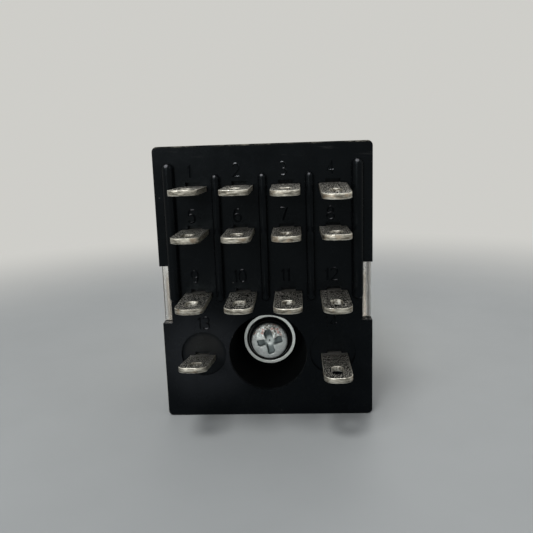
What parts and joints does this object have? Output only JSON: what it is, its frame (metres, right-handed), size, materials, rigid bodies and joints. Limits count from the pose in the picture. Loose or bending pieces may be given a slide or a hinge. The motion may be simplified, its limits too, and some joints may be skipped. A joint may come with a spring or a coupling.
{
  "type": "plug-in power relay",
  "caption": "Plug-in power relay: black base with flat blade terminals and a screw recess, clear cover over a coil, a rocking armature and changeover contacts.",
  "frame": {"origin": "middle of the bounding box, on the face that it rests on (the coil side)", "axes": "+X across the poles (right when looking at the blades with the coil blades below), +Y from the blade tips to the closed end of the cover, +Z from the coil side to the contact side"},
  "size_m": [0.0206, 0.0412, 0.0269],
  "materials": {
    "black_base": "satin moulded, worn edges",
    "clear_cover": "clear polycarbonate",
    "tinned_blade": "tin plated, scratched",
    "zinc_screw": "zinc plated",
    "bright_washer": "dull plated",
    "black_oxide": "black oxide",
    "magnet_steel": "nickel plated soft iron",
    "bobbin_plastic": "moulded",
    "copper_wire": "enamelled or braided copper",
    "coil_tape": "polyester tape",
    "contact_silver": "silver alloy",
    "spring_bronze": "phosphor bronze",
    "carrier_plastic": "moulded",
    "spring_steel": "drawn wire"
  },
  "bodies": {
    "relay_frame": {"base_block": "black_base", "clear_cover": "clear_cover", "base_screw": "zinc_screw", "lock_washer": "black_oxide", "plain_washer": "bright_washer", "pole_plate": "magnet_steel", "core": "magnet_steel", "yoke_plate": "magnet_steel", "coil_bobbin": "bobbin_plastic", "coil_winding": "copper_wire", "coil_tape": "coil_tape", "coil_lead_13": "copper_wire", "coil_lead_14": "copper_wire", "coil_terminal_13": "tinned_blade", "coil_terminal_14": "tinned_blade", "nc_terminal_1": "tinned_blade", "nc_terminal_2": "tinned_blade", "nc_terminal_3": "tinned_blade", "nc_terminal_4": "tinned_blade", "no_terminal_5": "tinned_blade", "no_terminal_6": "tinned_blade", "no_terminal_7": "tinned_blade", "no_terminal_8": "tinned_blade", "com_terminal_9": "tinned_blade", "com_terminal_10": "tinned_blade", "com_terminal_11": "tinned_blade", "com_terminal_12": "tinned_blade", "nc_contact_1": "contact_silver", "nc_contact_2": "contact_silver", "nc_contact_3": "contact_silver", "nc_contact_4": "contact_silver", "no_contact_5": "contact_silver", "no_contact_6": "contact_silver", "no_contact_7": "contact_silver", "no_contact_8": "contact_silver", "pigtail_1": "copper_wire", "pigtail_2": "copper_wire", "pigtail_3": "copper_wire", "pigtail_4": "copper_wire", "return_spring": "spring_steel"},
    "armature": {"armature_plate": "magnet_steel", "contact_carrier": "carrier_plastic", "carrier_rivets": "bright_washer", "moving_spring_1": "spring_bronze", "moving_spring_2": "spring_bronze", "moving_spring_3": "spring_bronze", "moving_spring_4": "spring_bronze", "moving_contact_1": "contact_silver", "moving_contact_2": "contact_silver", "moving_contact_3": "contact_silver", "moving_contact_4": "contact_silver"}
  },
  "joints": [
    {"name": "armature_pivot", "type": "hinge", "parent": "relay_frame", "child": "armature", "pos_m": [0, 0.0148, 0.0119], "axis": [1, 0, 0], "range_deg": [0, 2.2], "stiffness_Nm_per_rad": 0.02, "springref_deg": -5.73, "deforming": ["return_spring", "pigtail_1", "pigtail_2", "pigtail_3", "pigtail_4"]}
  ]
}
